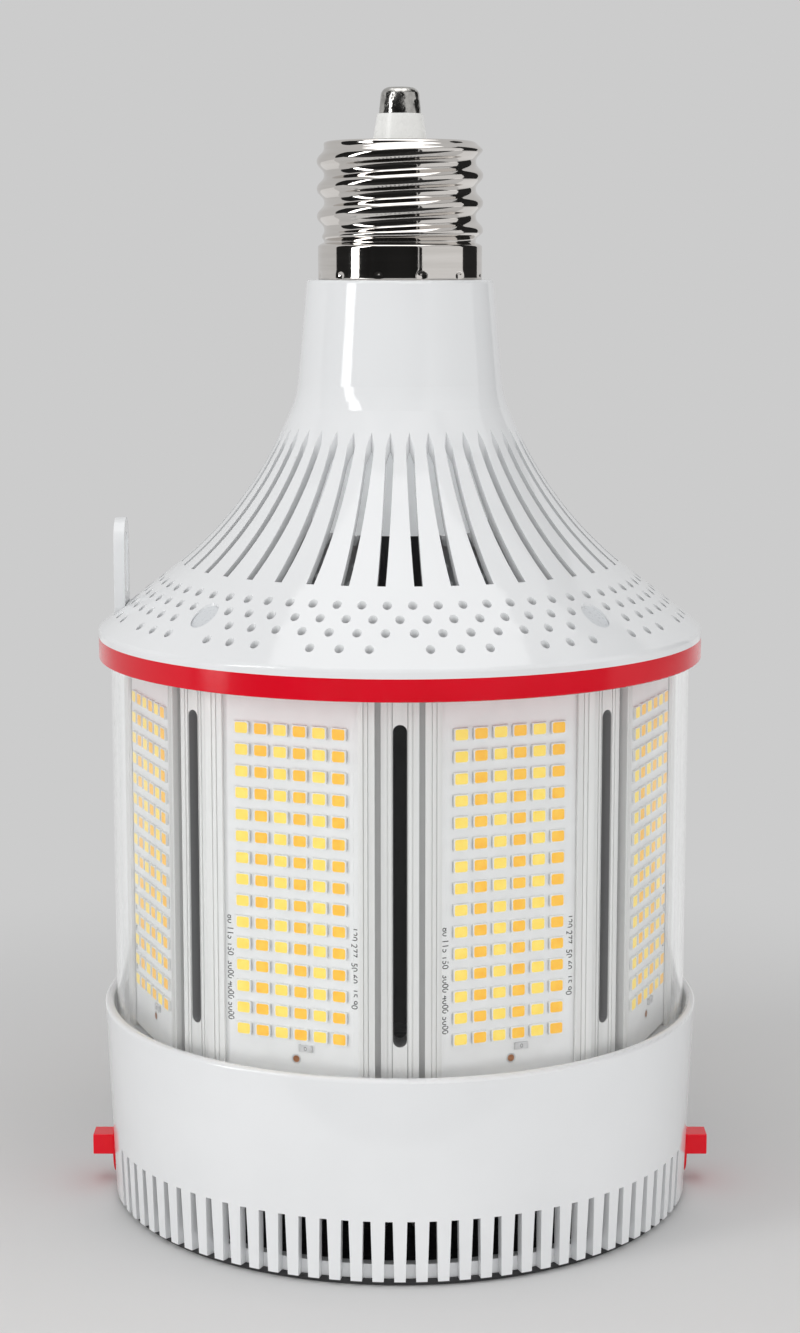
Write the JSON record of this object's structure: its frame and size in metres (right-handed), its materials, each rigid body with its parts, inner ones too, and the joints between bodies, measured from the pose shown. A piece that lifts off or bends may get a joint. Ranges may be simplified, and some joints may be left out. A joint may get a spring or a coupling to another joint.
{
  "type": "led retrofit bulb",
  "caption": "Mogul screw-base LED lamp: slotted white bell over a red band, clear lens round an eight-sided ring of LED boards, and a vented foot with selector knobs and a fan",
  "frame": {"origin": "on the lamp's axis, in the bottom face of the base plate", "axes": "+Z along the axis from the base plate to the screw cap, +X through the power knob, -Y towards the viewer of the picture"},
  "size_m": [0.1522, 0.1446, 0.2664],
  "materials": {
    "nickel": "bright rolled nickel plate",
    "insulator": "smooth white",
    "white_plastic": "semi-gloss moulded",
    "red_plastic": "gloss moulded",
    "clear_plastic": "clear polished",
    "aluminium": "natural extrusion with drawn lines",
    "board_white": "white solder mask",
    "chip_black": "matte",
    "dark_plastic": "matte moulded",
    "case_plastic": "matte moulded",
    "board_green": "solder mask",
    "capacitor_sleeve": "shrink sleeve",
    "transformer_tape": "wound tape",
    "copper": "enamelled wire",
    "switch_plastic": "moulded",
    "bearing_brass": "sintered",
    "steel": "zinc plated",
    "lamination": "stacked sheet",
    "magnet": "bonded magnet"
  },
  "bodies": {
    "lamp": {"base_insulator": "insulator", "base_plate": "dark_plastic", "base_screws": "steel", "bell_housing": "white_plastic", "bell_screws": "steel", "centre_contact": "nickel", "chip_resistors": "board_white", "colour_switch": "switch_plastic", "colour_switch_board": "board_green", "cover_screws": "steel", "driver_board": "board_green", "driver_capacitors": "capacitor_sleeve", "driver_case": "case_plastic", "driver_inductor": "copper", "driver_lid": "case_plastic", "driver_rectifier": "chip_black", "driver_transformer": "transformer_tape", "fan_bearing": "bearing_brass", "fan_coils": "copper", "fan_frame": "dark_plastic", "fan_screws": "steel", "fan_stator": "lamination", "heat_sink": "aluminium", "led_board_1": "board_white", "led_board_2": "board_white", "led_board_3": "board_white", "led_board_4": "board_white", "led_board_5": "board_white", "led_board_6": "board_white", "led_board_7": "board_white", "led_board_8": "board_white", "lens_tube": "clear_plastic", "lower_cover": "white_plastic", "power_switch": "switch_plastic", "power_switch_board": "board_green", "screw_shell": "nickel", "tether_eye": "white_plastic", "trim_band": "red_plastic", "wire_conduit": "dark_plastic"},
    "fan_wheel": {"fan_rotor": "dark_plastic", "rotor_magnet": "magnet", "fan_shaft": "steel"},
    "power_selector": {"power_knob": "red_plastic"},
    "colour_selector": {"colour_knob": "red_plastic"}
  },
  "joints": [
    {"name": "fan_spin", "type": "hinge", "parent": "lamp", "child": "fan_wheel", "pos_m": [0, 0, 0.032], "axis": [0, 0, 1], "continuous": true},
    {"name": "power_select", "type": "hinge", "parent": "lamp", "child": "power_selector", "pos_m": [0.0695, 0, 0.00965], "axis": [1, 0, 0], "range_deg": [-45, 45]},
    {"name": "colour_select", "type": "hinge", "parent": "lamp", "child": "colour_selector", "pos_m": [-0.0695, 0, 0.00965], "axis": [-1, 0, 0], "range_deg": [-45, 45]}
  ]
}
